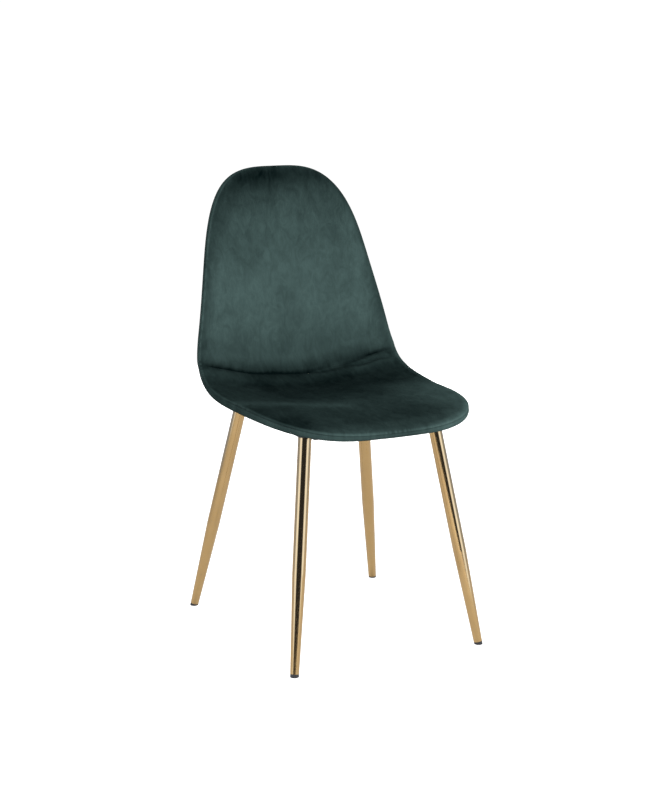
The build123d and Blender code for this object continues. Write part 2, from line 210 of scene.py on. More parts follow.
def rim_loop(along):
    """Rim points (s, x) that match the grid's boundary, with the inward normal at each."""
    half = half_outline()
    corner = [np.argmin(abs(half[:, 0] - s)) for s in (CORNER_FRONT_S, CORNER_TOP_S)]
    front, side, top = half[:corner[0] + 1], half[corner[0]:corner[1] + 1], half[corner[1]:]
    share = np.linspace(-1, 1, ACROSS)
    front_x, top_x = share * front[-1, 1], share * top[0, 1]
    front_s = np.interp(abs(front_x), front[:, 1], front[:, 0])
    top_s = np.interp(abs(top_x), top[::-1, 1], top[::-1, 0])
    side_s = side[0, 0] + (along - along[0]) / (along[-1] - along[0]) * (side[-1, 0] - side[0, 0])
    side_x = np.interp(side_s, side[:, 0], side[:, 1])
    front_line, top_line = np.column_stack([front_s, front_x]), np.column_stack([top_s, top_x])
    right = np.column_stack([side_s, side_x])
    left = right * (1, -1)
    loop = np.concatenate([front_line, right[1:], top_line[-2::-1], left[-2:0:-1]])
    tangent = np.roll(loop, -1, axis=0) - np.roll(loop, 1, axis=0)
    for _ in range(6):
        tangent = (np.roll(tangent, 1, axis=0) + 2 * tangent + np.roll(tangent, -1, axis=0)) / 4
    normal = np.column_stack([tangent[:, 1], -tangent[:, 0]])
    return loop, normal / np.linalg.norm(normal, axis=1)[:, None]


def split_loop(loop, rows, columns):
    """The four sides of a boundary loop: bottom, top, left and right, each in the grid's own order."""
    bottom = loop[:columns]
    right = loop[columns - 1:columns + rows - 1]
    top = loop[columns + rows - 2:2 * columns + rows - 2][::-1]
    left = np.concatenate([loop[2 * columns + rows - 3:], loop[:1]])[::-1]
    return bottom, top, left, right


class Cover:
    """(s, x) points of a cover: rings that follow the rim, then a grid inside them."""

    def __init__(self, ring_offsets):
        along = spread(CORNER_FRONT_S, CORNER_TOP_S, 0.0042, float(crease_s(0.1)))
        rows = len(along)
        loop, inward = rim_loop(along)
        rings = [loop + inward * offset for offset in ring_offsets]
        inner = loop + inward * EDGE_ZONE
        grid = coons(*split_loop(inner, rows, ACROSS)).reshape(-1, 2)
        count = len(loop)
        self.points = np.concatenate([*rings, grid])
        self.ring = np.concatenate([np.repeat(np.arange(len(rings)), count),
                                    np.full(len(grid), len(rings))])
        self.offset = np.concatenate([np.repeat(ring_offsets, count), np.full(len(grid), EDGE_ZONE)])
        self.faces = cover_faces(len(rings), count, rows)


def cover_faces(rings, count, rows):
    """Quads of a cover: bands between rings of that many points, then the grid inside them."""
    start = rings * count
    levels = [np.arange(count) + k * count for k in range(rings)]
    levels.append(start + loop_of(rows, ACROSS))
    faces = []
    for outer, inner in zip(levels, levels[1:]):
        faces.append(np.column_stack([outer, np.roll(outer, -1), np.roll(inner, -1), inner]))
    faces.append(start + grid_quads(rows, ACROSS))
    return np.concatenate(faces)


def make_mesh(name, places, faces, cloth=None, painted_light=None):
    """Smooth-shaded object from points and quads, with cloth coordinates and painted light and shade if
    given.
    """
    mesh = bpy.data.meshes.new(name)
    mesh.from_pydata(places.tolist(), [], faces.tolist())
    mesh.polygons.foreach_set("use_smooth", [True] * len(mesh.polygons))
    if cloth is not None:
        layer = mesh.uv_layers.new(name="cloth")
        corners = np.zeros(len(mesh.loops), int)
        mesh.loops.foreach_get("vertex_index", corners)
        layer.data.foreach_set("uv", cloth[corners].astype(np.float32).ravel())
    if painted_light is not None:
        shade = mesh.attributes.new("painted_light", "FLOAT", "POINT")
        shade.data.foreach_set("value", painted_light.astype(np.float32))
    mesh.update()
    obj = bpy.data.objects.new(name, mesh)
    bpy.context.scene.collection.objects.link(obj)
    return obj


def give_thickness(obj, thickness):
    """Makes an open surface a closed sheet; the new side is behind it."""
    solid = obj.modifiers.new("thickness", "SOLIDIFY")
    solid.thickness = thickness
    solid.offset = -1
    solid.use_rim = True


# ---------------------------------------------------------------- front cover
# the roll of the front cover over the rim, from the seam inwards: (distance in from the rim, height over it)
FRONT_ROLL = MM * np.array([(0.3, -4.5), (-0.3, -4.1), (-0.5, -3.5), (-0.5, -2.9), (-0.2, -2.1), (0.5, -1.25),
                            (1.8, -0.5), (3.7, 0.15), (6.5, 0.75), (10, 1.25), (14.5, 1.6), (20, 1.8)])
FRONT_SWELL = 0.0019                               # height of the cover inside the roll
RELIEF_FROM = 0.004                                # folds fade in from this distance in from the rim
CLOTH = 0.0009                                     # thickness of the velvet
# folds in the velvet: start (s, x), end (s, x), depth, half-width, in metres
FOLDS = [
    ((0.4290, 0.000), (0.4270, 0.100), 0.0036, 0.0026),      # second fold, below the +X half of the crease
    ((0.4275, 0.080), (0.4265, 0.214), 0.0036, 0.0028),
    ((0.4620, -0.030), (0.4635, 0.045), 0.0009, 0.0030),     # faint arc over the crease
    ((0.4530, 0.095), (0.4600, 0.190), 0.0014, 0.0030),      # short fold at the +X end, over the crease
    ((0.4400, -0.205), (0.4480, -0.150), 0.0014, 0.0030),    # -X end of the crease
    ((0.4490, -0.130), (0.4430, -0.060), 0.0010, 0.0028),
    ((0.4780, -0.158), (0.4610, -0.098), 0.0016, 0.0040),    # short fold in the -X half of the back
    ((0.0760, -0.137), (0.0400, -0.126), 0.0022, 0.0026),    # small folds at the front edge
    ((0.0700, -0.153), (0.0520, -0.104), 0.0018, 0.0028),
    ((0.0990, 0.116), (0.0600, 0.109), 0.0014, 0.0028),
    ((0.4150, 0.060), (0.3900, 0.170), 0.0010, 0.0060),      # soft drags on the seat below the crease
    ((0.4080, -0.060), (0.3850, -0.170), 0.0009, 0.0070),
    ((0.2600, -0.080), (0.2300, 0.060), 0.0007, 0.0100),
]
# short gathers across the strip between the crease and the second fold, by their x
PUCKERS = [0.022, 0.048, 0.069, 0.093, 0.121, 0.158]


def fold_height(s, x, start, end, depth, width):
    """A soft-ended valley along a line, with a low ridge on each side."""
    (s0, x0), (s1, x1) = start, end
    ds, dx = s1 - s0, x1 - x0
    length = math.hypot(ds, dx)
    along = ((s - s0) * ds + (x - x0) * dx) / length
    beside = ((s - s0) * dx - (x - x0) * ds) / length
    beside = beside + 0.0015 * np.sin(along * 95 + s0 * 50)
    fade = smooth_step(-0.006, 0.35 * length, along) * (1 - smooth_step(0.65 * length, length + 0.006, along))
    valley = -depth / (1 + (beside / width) ** 2)
    ridges = 0.55 * depth * np.exp(-((abs(beside) - 2.6 * width) / (1.5 * width)) ** 2)
    return fade * (valley + ridges)


def crease_height(s, x):
    """The tuck between the seat pad and the back pad, with the pads swelling on both sides."""
    beside = s - crease_s(x) + 0.0008 * np.sin(x * 60 + 1)
    reach = 1 - 0.5 * smooth_step(0.160, 0.210, abs(x))
    valley = -0.0050 / (1 + (beside / 0.0021) ** 2)
    swell = 0.0028 * np.exp(-((abs(beside) - 0.016) / 0.011) ** 2)
    return reach * (valley + swell)


def drift(s, x):
    """Slow unevenness of the foam."""
    waves = np.sin(31 * s + 17 * x) + np.sin(23 * s - 29 * x + 1.3) + np.sin(47 * x + 11 * s + 0.7)
    return 0.00022 * waves


def relief(s, x):
    """Everything that lifts or sinks the front cover away from its even surface."""
    height = crease_height(s, x) + drift(s, x)
    for fold in FOLDS:
        height = height + fold_height(s, x, *fold)
    for place in PUCKERS:
        height = height + fold_height(s, x, (0.4440, place), (0.4190, place + 0.006), 0.0012, 0.0024)
    return height


def front_height(cover):
    """Height of the front cover over the rim at each of its points."""
    s, x = cover.points.T
    heights = np.append(FRONT_ROLL[:, 1], FRONT_SWELL)[cover.ring]
    return heights + smooth_step(RELIEF_FROM, EDGE_ZONE, cover.offset) * relief(s, x)


def depth_inside(points):
    """Distance of each (s, x) point from the rim."""
    rim = half_outline()[::2]
    gap = points[..., None, :] - rim
    mirrored = points[..., None, :] * (1, -1) - rim
    return np.sqrt(np.minimum((gap ** 2).sum(axis=-1), (mirrored ** 2).sum(axis=-1)).min(axis=-1))


# painted light and shade of the velvet, 0 to 1, against the distance from the crease, up the back and forward
# over the seat
BACK_PAINTED_LIGHT = np.array([(0, 0.14), (0.009, 0.24), (0.024, 0.58), (0.040, 0.68), (0.069, 0.92), (0.110, 0.93),
                      (0.150, 0.89), (0.190, 0.83), (0.230, 0.68), (0.270, 0.69), (0.300, 0.60),
                      (0.330, 0.42), (0.350, 0.22), (0.370, 0.06)])
SEAT_PAINTED_LIGHT = np.array([(0, 0.10), (0.020, 0.04), (0.040, 0.01), (0.110, 0.02), (0.150, 0.06), (0.190, 0.16),
                      (0.230, 0.25), (0.270, 0.25), (0.310, 0.18), (0.350, 0.18), (0.375, 0.34)])
# a painted highlight streak over the -X half of the seat: (x, distance along the rim line), and its
# half-width
SEAT_HIGHLIGHT_STREAK = np.array([(-0.20, 0.255), (-0.16, 0.246), (-0.12, 0.234), (-0.08, 0.208), (-0.03, 0.186)])
SEAT_HIGHLIGHT_HALF_WIDTH = 0.020
STRIP_S, STRIP_HALF_WIDTH = 0.4345, 0.0055         # painted highlight on the strip between the crease and the second fold
RIM_HIGHLIGHT_BAND = (0.002, 0.015)                          # painted highlight this near the rim
SEAM_HIGHLIGHT_BAND = (0.0008, 0.0035)                       # and a painted highlight along its very edge
SHADE_BAND = (0.003, 0.028)                        # painted shade in folds from this far in
VALLEY_SHADE, RIDGE_LIGHT = 62, 25                 # painted shade or highlight per metre of a fold's depth or height


def painted_light_turn(x):
    """Distance along the shell where the painted shade of the seat turns to the painted light of the back."""
    bend = 0.008 * smooth_step(0.05, 0.12, x) - 0.012 * smooth_step(0.14, 0.20, x)
    return 0.4310 + 0.06 * x ** 2 + bend


def back_painted_light(x, up, depth):
    """Painted light and shade of the back at a distance up from the crease and a depth in from the rim:
    painted shade along the rim, painted highlights at the +X rim low down and along the top edge.
    """
    minus_side = smooth_step(0.06, -0.06, x)
    high = smooth_step(0.16, 0.30, up)
    low_plus_side = smooth_step(0.0, 0.12, x) * (1 - smooth_step(0.12, 0.20, up))
    shaded_edge_width = 0.012 + 0.018 * minus_side + 0.030 * minus_side * high + 0.030 * low_plus_side
    painted_light = np.interp(up, *BACK_PAINTED_LIGHT.T) * (0.45 + 0.55 * smooth_step(0.0, 1.0, depth / shaded_edge_width))
    near_rim = 1 - smooth_step(*RIM_HIGHLIGHT_BAND, depth)
    painted_light += 0.35 * near_rim * smooth_step(0.10, 0.16, x) * smooth_step(0.10, 0.04, up)
    near_top = (1 - smooth_step(0.002, 0.014, depth)) * smooth_step(0.33, 0.36, up)
    return painted_light + 0.12 * near_top


def seat_painted_light(s, x, forward, depth):
    """Painted light and shade of the seat at a distance forward of the crease and a depth in from the rim,
    with painted highlights along the rim, on a streak and on a strip.
    """
    near_rim = 1 - smooth_step(*RIM_HIGHLIGHT_BAND, depth)
    front = smooth_step(0.15, 0.30, forward)
    highlight_streak = np.exp(-((s - np.interp(x, *SEAT_HIGHLIGHT_STREAK.T)) / SEAT_HIGHLIGHT_HALF_WIDTH) ** 2)
    strip = np.exp(-((s - STRIP_S) / STRIP_HALF_WIDTH) ** 2)
    painted_light = np.interp(forward, *SEAT_PAINTED_LIGHT.T)
    painted_light += 0.38 * smooth_step(0.05, 0.20, forward) * smooth_step(0.07, 0.20, x)
    painted_light += 0.27 * highlight_streak * smooth_step(0.01, -0.06, x)
    painted_light -= 0.14 * smooth_step(-0.10, -0.17, x) * smooth_step(0.20, 0.24, forward)
    painted_light += 0.28 * strip * smooth_step(0.0, 0.03, x) * smooth_step(0.12, 0.08, x)
    painted_light += 0.12 * near_rim * front * smooth_step(-0.14, -0.06, x)
    painted_light += 0.38 * near_rim * front * smooth_step(0.02, 0.15, x)
    painted_light += 0.30 * near_rim * (1 - front) * smooth_step(0.12, 0.17, x)
    painted_light += 0.13 * smooth_step(0.06, 0.18, x) * (1 - smooth_step(0.03, 0.10, forward))
    painted_light += 0.17 * smooth_step(-0.09, -0.17, x) * (1 - smooth_step(0.14, 0.20, forward))
    return painted_light


def front_painted_light(s, x, depth):
    """Painted light and shade on the velvet, 0 to 1: lit on the back, shaded on the seat, with painted shade
    in folds and painted highlights along the rim.
    """
    beside = s - painted_light_turn(x)
    on_back = smooth_step(-0.003, 0.005, beside)
    painted_light = back_painted_light(x, beside, depth) * on_back + seat_painted_light(s, x, -beside, depth) * (1 - on_back)
    folds = relief(s, x) - drift(s, x)
    # painted shade in the folds' valleys and a painted highlight on their ridges
    shade = VALLEY_SHADE * np.minimum(folds, 0) * (0.4 + 0.6 * on_back) + RIDGE_LIGHT * np.maximum(folds, 0)
    # painted highlight along the cover's very edge
    edge_light = 0.30 * (1 - smooth_step(*SEAM_HIGHLIGHT_BAND, depth))
    return painted_light + edge_light + smooth_step(*SHADE_BAND, depth) * shade


def make_front_cover():
    cover = Cover(FRONT_ROLL[:, 0])
    s, x = cover.points.T
    places = shell_point(s, x, front_height(cover), 1)
    obj = make_mesh("front_cover_velvet", places, cover.faces, cover.points[:, ::-1],
                    front_painted_light(s, x, depth_inside(cover.points)))
    give_thickness(obj, CLOTH)
    return obj


# ---------------------------------------------------------------- rear cover
# from the seam, down the side band and under: (distance in from the rim, share of the shell's thickness)
REAR_ROLL = np.array([(1.4, 0.243), (0.3, 0.262), (-0.4, 0.282), (-0.8, 0.325), (-1.0, 0.40), (-1.1, 0.52),
                      (-1.0, 0.66), (-0.6, 0.78), (0.1, 0.87), (1.0, 0.93), (2.0, 0.972), (3.5, 0.993),
                      (6.0, 1.0), (12.0, 1.0), (18.0, 1.0)]) * (MM, 1)
RIM_DROP = 0.0016                                  # extra depth of the side band round the seat
REAR_LIFT, REAR_UNEVEN = 0.0006, 0.3               # lift towards the shell, and how much of the drift shows


def rear_heights(s, x, share, inside):
    """Heights of the rear cover: a share of the shell's thickness, with a little looseness."""
    round_seat = (1 - smooth_step(0.24, 0.34, s)) * smooth_step(0.03, 0.12, abs(x)) * (1 - inside)
    heights = -(SHELL_THICKNESS + RIM_DROP * round_seat) * share
    return heights + REAR_UNEVEN * inside * (drift(s, x) + REAR_LIFT)


def rear_painted_light(s, x, share, inside):
    """Painted light and shade of the rear cover: lighter up the back and at +X on the seat, painted shade
    past the band under the shell; a sine wave adds uneven tone.
    """
    seat = 1 - smooth_step(0.12, 0.30, s)
    painted_light = 0.46 + 0.08 * np.sin(19 * s + 7 * x) + seat * (0.02 + 0.80 * smooth_step(0.02, 0.17, x))
    return painted_light + 0.40 * inside * smooth_step(0.40, 0.55, s) - 0.15 * smooth_step(0.85, 1.0, share)


def make_rear_cover():
    cover = Cover(REAR_ROLL[:, 0])
    s, x = cover.points.T
    share = np.append(REAR_ROLL[:, 1], 1.0)[cover.ring]
    inside = smooth_step(RELIEF_FROM, EDGE_ZONE, cover.offset)
    over_foam = 1 - smooth_step(0.25, 0.80, share)
    places = shell_point(s, x, rear_heights(s, x, share, inside), over_foam)
    obj = make_mesh("rear_cover_velvet", places, cover.faces[:, ::-1], cover.points[:, ::-1],
                    rear_painted_light(s, x, share, inside))
    give_thickness(obj, CLOTH)
    return obj


# ---------------------------------------------------------------- pads and wadding under the covers
PLY_TOP = -0.0065                                  # height of the plywood's upper face where the foam is full
PAD_INSET = 0.0022                                 # how far the pads stay inside the rim
PAD_CLEARANCE = 0.0011                             # under the front cover
PAD_LIFT, PAD_LEAST = 0.0001, 0.0003               # over the plywood, and the least thickness of a pad
INNER_ROLL = FRONT_ROLL[3:]                        # the part of the roll that lies over the pads
PAD_ROW_GAP, PAD_END_GAP = 0.002, 0.0005           # from the crease to a pad's last whole row, and to its end
WADDING_INSET, WADDING_TOP, WADDING_BOTTOM = 0.0018, -0.01460, -0.01640


def layer_grid(inset, part):
    """(s, x) grid of a layer inside the outline; part is "whole", or "seat" or "back" of the crease."""
    along = spread(CORNER_FRONT_S, CORNER_TOP_S, 0.006, float(crease_s(0.1)), fine=0.0015)
    loop, inward = rim_loop(along)
    grid = coons(*split_loop(loop + inward * inset, len(along), ACROSS))
    middle = crease_s(grid[..., 1])
    if part == "seat":
        grid = grid[(grid[..., 0] < middle - PAD_ROW_GAP).all(axis=1)]
        edge = grid[-1].copy()
        edge[:, 0] = crease_s(edge[:, 1]) - PAD_END_GAP
        grid = np.concatenate([grid, edge[None]])
    if part == "back":
        grid = grid[(grid[..., 0] > middle + PAD_ROW_GAP).all(axis=1)]
        edge = grid[0].copy()
        edge[:, 0] = crease_s(edge[:, 1]) + PAD_END_GAP
        grid = np.concatenate([edge[None], grid])
    return grid


def slab(name, upper, lower):
    """Closed object between two (rows, columns, 3) grids of points."""
    rows, columns = upper.shape[:2]
    quads = grid_quads(rows, columns)
    border = loop_of(rows, columns)
    after = np.roll(border, -1)
    count = rows * columns
    wall = np.column_stack([border, border + count, after + count, after])
    places = np.concatenate([upper.reshape(-1, 3), lower.reshape(-1, 3)])
    return make_mesh(name, places, np.concatenate([quads, quads[:, ::-1] + count, wall]))


def make_pad(name, part):
    """Foam pad that follows the front cover above and lies on the plywood below."""
    grid = layer_grid(PAD_INSET, part)
    s, x = np.moveaxis(grid, -1, 0)
    depth = depth_inside(grid)
    top = np.interp(depth, *INNER_ROLL.T) - CLOTH - PAD_CLEARANCE
    top += smooth_step(RELIEF_FROM, EDGE_ZONE, depth) * relief(s, x)
    bottom = PLY_TOP + PAD_LIFT
    thinning = rim_line(s)[0][..., 5]
    top = np.maximum(top, bottom + thinning + PAD_LEAST)
    return slab(name, shell_point(s, x, top, 1), shell_point(s, x, bottom, 0))


def make_wadding():
    s, x = np.moveaxis(layer_grid(WADDING_INSET, "whole"), -1, 0)
    upper, lower = (shell_point(s, x, height, 0) for height in (WADDING_TOP, WADDING_BOTTOM))
    return slab("rear_wadding_layer", upper, lower)


# ---------------------------------------------------------------- materials
MIX_A, MIX_B, MIX_RESULT = 6, 7, 2                 # the Mix node's colour sockets, by number


class Finish:
    """A material being built: short ways to add nodes and join them."""

    def __init__(self, name, **constants):
        self.material = bpy.data.materials.new(name)
        self.material.use_nodes = True
        self.tree = self.material.node_tree
        self.shader = self.tree.nodes["Principled BSDF"]
        for socket, value in constants.items():
            self.shader.inputs[socket.replace("_", " ")].default_value = value

    def add(self, kind, inputs=None, **settings):
        """A node of that kind; inputs are links from sockets or plain values."""
        node = self.tree.nodes.new(kind)
        for key, value in settings.items():
            setattr(node, key, value)
        for key, value in (inputs or {}).items():
            self.give(node.inputs[key], value)
        return node

    def give(self, socket, value):
        if isinstance(value, bpy.types.NodeSocket):
            self.tree.links.new(value, socket)
        else:
            socket.default_value = value

    def place(self, stretch=(1, 1, 1), cloth=False):
        """Object coordinates, or the cloth's own, stretched."""
        if cloth:
            source = self.add("ShaderNodeUVMap", uv_map="cloth").outputs["UV"]
        else:
            source = self.add("ShaderNodeTexCoord").outputs["Object"]
        return self.add("ShaderNodeMapping", {"Vector": source, "Scale": stretch}).outputs["Vector"]

    def noise(self, vector, scale, detail=3, roughness=0.5, distortion=0):
        values = {"Vector": vector, "Scale": scale, "Detail": detail,
                  "Roughness": roughness, "Distortion": distortion}
        return self.add("ShaderNodeTexNoise", values).outputs["Fac"]

    def rescale(self, value, low, high, to_low, to_high):
        values = {"Value": value, "From Min": low, "From Max": high, "To Min": to_low, "To Max": to_high}
        return self.add("ShaderNodeMapRange", values).outputs["Result"]

    def maths(self, operation, one, two):
        return self.add("ShaderNodeMath", {0: one, 1: two}, operation=operation).outputs[0]

    def blend(self, share, one, two, clamp=True):
        values = {"Factor": share, MIX_A: one, MIX_B: two}
        mix = self.add("ShaderNodeMix", values, data_type="RGBA", clamp_factor=clamp)
        return mix.outputs[MIX_RESULT]

    def colour(self, value):
        self.give(self.shader.inputs["Base Color"], value)

    def bump(self, height, distance, strength=1.0):
        node = self.add("ShaderNodeBump", {"Height": height, "Distance": distance, "Strength": strength})
        self.give(self.shader.inputs["Normal"], node.outputs["Normal"])


# the velvet's colour in full painted shade and in full painted light
VELVET_IN_PAINTED_SHADE = (0.0028, 0.0062, 0.0062, 1)
VELVET_IN_PAINTED_LIGHT = (0.0400, 0.0670, 0.0640, 1)
DEEPEST_PAINTED_SHADE = -0.04                                 # painted shade a little beyond full shade in the deepest folds


def velvet():
    """Short-pile velvet: soft patches and fainter streaks where the pile lies one way or the other, over
    light and shade painted in from the mesh.
    """
    mat = Finish("teal_velvet", Roughness=0.75, Sheen_Weight=0.009, Sheen_Roughness=0.4, Specular_IOR_Level=0)
    mat.shader.inputs["Sheen Tint"].default_value = (0.55, 0.90, 0.88, 1)
    broad = mat.noise(mat.place((1, 0.7, 1), cloth=True), 15, 3, 0.5, 0.8)
    patches = mat.noise(mat.place((1, 0.65, 1), cloth=True), 52, 6, 0.65, 1.1)
    streaks = mat.noise(mat.place((1, 0.28, 1), cloth=True), 150, 4, 0.7, 0.8)
    fine_streaks = mat.noise(mat.place((1, 0.18, 1), cloth=True), 520, 3, 0.6)
    # light and shade painted into the velvet's colour, carried on the mesh
    painted_light = mat.add("ShaderNodeAttribute", attribute_name="painted_light").outputs["Fac"]
    for pattern, reach in ((broad, 0.12), (patches, 0.17), (streaks, 0.06), (fine_streaks, 0.04)):
        shift = mat.rescale(pattern, 0.3, 0.7, -reach, reach)
        weight = mat.rescale(painted_light, 0.0, 0.8, 0.35, 1.0)
        painted_light = mat.maths("ADD", painted_light, mat.maths("MULTIPLY", shift, weight))
    painted_light = mat.maths("MAXIMUM", painted_light, DEEPEST_PAINTED_SHADE)
    # the colour runs from painted shade to painted light
    mat.colour(mat.blend(painted_light, VELVET_IN_PAINTED_SHADE, VELVET_IN_PAINTED_LIGHT, clamp=False))
    mat.give(mat.shader.inputs["Roughness"], mat.rescale(patches, 0.3, 0.7, 0.66, 0.82))
    tufts = mat.noise(mat.place(), 1500, 2, 0.7)
    lean = mat.noise(mat.place((1, 0.3, 1), cloth=True), 260, 3, 0.6)
    mat.bump(mat.maths("ADD", tufts, lean), 0.00045)
    return mat.material


def steel(name, light, dark, rough, scratch=0.03, grain=220, coat=0.0):
    """Metal whose gloss and tone vary a little, as handling and plating leave them."""
    mat = Finish(name, Metallic=1.0, Coat_Weight=coat, Coat_Roughness=0.04)
    clouds = mat.noise(mat.place(), 14, 4, 0.6)
    lines = mat.noise(mat.place((1, 1, 0.08)), grain, 3, 0.6)
    mat.colour(mat.blend(mat.rescale(clouds, 0.3, 0.7, 0, 1), light, dark))
    handled = mat.rescale(clouds, 0.3, 0.7, rough, rough * 1.5)
    scratched = mat.maths("MULTIPLY", lines, scratch)
    mat.give(mat.shader.inputs["Roughness"], mat.maths("ADD", handled, scratched))
    mat.bump(lines, 0.00001, 0.4)
    return mat.material


def powder_coat():
    mat = Finish("black_powder_coat", Roughness=0.5)
    peel = mat.noise(mat.place(), 900, 2, 0.5)
    wear = mat.noise(mat.place(), 30, 4, 0.6)
    mat.colour(mat.blend(wear, (0.012, 0.012, 0.013, 1), (0.022, 0.022, 0.024, 1)))
    mat.give(mat.shader.inputs["Roughness"], mat.rescale(wear, 0.3, 0.7, 0.42, 0.6))
    mat.bump(peel, 0.0001)
    return mat.material


def moulded_plastic():
    mat = Finish("black_moulded_plastic", Roughness=0.4)
    spark = mat.add("ShaderNodeTexVoronoi", {"Vector": mat.place(), "Scale": 2200}).outputs["Distance"]
    scuff = mat.noise(mat.place(), 60, 4, 0.6)
    mat.colour(mat.blend(scuff, (0.010, 0.010, 0.010, 1), (0.030, 0.030, 0.031, 1)))
    mat.give(mat.shader.inputs["Roughness"], mat.rescale(scuff, 0.3, 0.7, 0.35, 0.6))
    mat.bump(spark, 0.00005)
    return mat.material


def foam():
    mat = Finish("polyurethane_foam", Roughness=0.9)
    cells = mat.add("ShaderNodeTexVoronoi", {"Vector": mat.place(), "Scale": 900}).outputs["Distance"]
    ageing = mat.noise(mat.place(), 12, 4, 0.6)
    mat.colour(mat.blend(ageing, (0.80, 0.74, 0.56, 1), (0.74, 0.62, 0.38, 1)))
    mat.give(mat.shader.inputs["Roughness"], mat.rescale(cells, 0, 0.6, 0.8, 1.0))
    mat.bump(cells, 0.0006)
    return mat.material


def wadding():
    mat = Finish("polyester_wadding", Roughness=0.95)
    fibres = mat.noise(mat.place(), 240, 5, 0.75, 2.0)
    lumps = mat.noise(mat.place(), 30, 3, 0.6)
    mat.colour(mat.blend(lumps, (0.74, 0.74, 0.72, 1), (0.86, 0.86, 0.85, 1)))
    mat.give(mat.shader.inputs["Roughness"], mat.rescale(fibres, 0.3, 0.7, 0.85, 1.0))
    mat.bump(fibres, 0.0008)
    return mat.material


def plywood():
    mat = Finish("birch_plywood", Roughness=0.55)
    rings = mat.noise(mat.place((1, 0.06, 0.06)), 160, 5, 0.65, 0.6)
    figure = mat.noise(mat.place((1, 0.2, 0.2)), 22, 4, 0.6, 1.2)
    tone = mat.maths("ADD", mat.rescale(rings, 0.3, 0.7, 0, 0.5), mat.rescale(figure, 0.3, 0.7, 0, 0.5))
    mat.colour(mat.blend(tone, (0.68, 0.50, 0.31, 1), (0.50, 0.33, 0.17, 1)))
    mat.give(mat.shader.inputs["Roughness"], mat.rescale(rings, 0.3, 0.7, 0.45, 0.65))
    mat.bump(rings, 0.0001)
    return mat.material


# ---------------------------------------------------------------- pieces
SOFT_PIECES = [
    (make_front_cover(), "front_cover", "velvet"),
    (make_rear_cover(), "rear_cover", "velvet"),
    (make_pad("seat_foam_pad", "seat"), "seat_foam", "foam"),
    (make_pad("back_foam_pad", "back"), "back_foam", "foam"),
    (make_wadding(), "rear_wadding", "wadding"),
]
SLOT_MATERIALS = {"velvet": velvet(), "foam": foam(), "wadding": wadding()}
for piece, node, slot in SOFT_PIECES:
    piece.data.materials.append(SLOT_MATERIALS[slot])
    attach(piece, "root")
    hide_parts(node)

brass = steel("brass_coloured_steel", (0.52, 0.340, 0.140, 1), (0.46, 0.295, 0.118, 1), 0.09, coat=0.7)
zinc = steel("zinc_plated_steel", (0.62, 0.63, 0.66, 1), (0.50, 0.51, 0.54, 1), 0.28, grain=400)
black_oxide = steel("black_oxide_steel", (0.055, 0.055, 0.060, 1), (0.030, 0.030, 0.033, 1), 0.34, grain=400)
plastic = moulded_plastic()
coated = powder_coat()
# the first of these words found in a node's name gives its finish, so "leg" comes last
FINISH_OF_NODE_KIND = {
    "glide": plastic,
    "cap": plastic,
    "spacer": plastic,
    "socket": coated,
    "rail": coated,
    "screw": black_oxide,
    "bolt": black_oxide,
    "washer": zinc,
    "t_nut": zinc,
    "plywood": plywood(),
    "leg": brass,
}
replaced = {node for piece, node, slot in SOFT_PIECES}
for name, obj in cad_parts.items():
    if name in replaced:
        continue
    kind = next(kind for kind in FINISH_OF_NODE_KIND if kind in name)
    for material_slot in obj.material_slots:
        material_slot.material = FINISH_OF_NODE_KIND[kind]


# ---------------------------------------------------------------- camera, floor and studio light
CAMERA_PLACE = Vector((-1.4649, -2.9379, 1.1563))
CAMERA_TARGET = Vector((-0.0091, -0.0200, 0.4335))
CAMERA_LENS, CAMERA_SENSOR = 78.35, 36             # mm
FLOOR_RADIUS, FLOOR_SIDES = 2.6, 96
FLOOR_COLOUR = 0.66
FLOOR_GLOW, FLOOR_GLOW_ON_CHAIR = 0.90, 0.06       # as the camera sees it, and as the chair does
WHITE = (1, 1, 1, 1)


def add_camera():
    data = bpy.data.cameras.new("camera")
    data.lens, data.sensor_width = CAMERA_LENS, CAMERA_SENSOR
    camera = bpy.data.objects.new("camera", data)
    camera.location = CAMERA_PLACE
    camera.rotation_euler = (CAMERA_TARGET - CAMERA_PLACE).to_track_quat("-Z", "Y").to_euler()
    bpy.context.scene.collection.objects.link(camera)
    bpy.context.scene.camera = camera


def add_floor():
    """A round white studio floor that glows to the camera, as an overexposed one does, and barely lights."""
    angle = np.linspace(0, 2 * math.pi, FLOOR_SIDES + 1)[:-1]
    ring = np.column_stack([FLOOR_RADIUS * np.cos(angle), FLOOR_RADIUS * np.sin(angle), 0 * angle])
    mesh = bpy.data.meshes.new("floor")
    mesh.from_pydata(ring.tolist(), [], [list(range(len(ring)))])
    floor = bpy.data.objects.new("floor", mesh)
    bpy.context.scene.collection.objects.link(floor)
    mat = Finish("white_floor", Roughness=0.9, Specular_IOR_Level=0)
    seen = mat.add("ShaderNodeLightPath").outputs["Is Camera Ray"]
    glow = mat.rescale(seen, 0, 1, FLOOR_GLOW_ON_CHAIR, FLOOR_GLOW)
    mat.give(mat.shader.inputs["Emission Strength"], glow)
    mat.shader.inputs["Base Color"].default_value = (FLOOR_COLOUR, FLOOR_COLOUR, FLOOR_COLOUR, 1)
    mat.shader.inputs["Emission Color"].default_value = WHITE
    mesh.materials.append(mat.material)


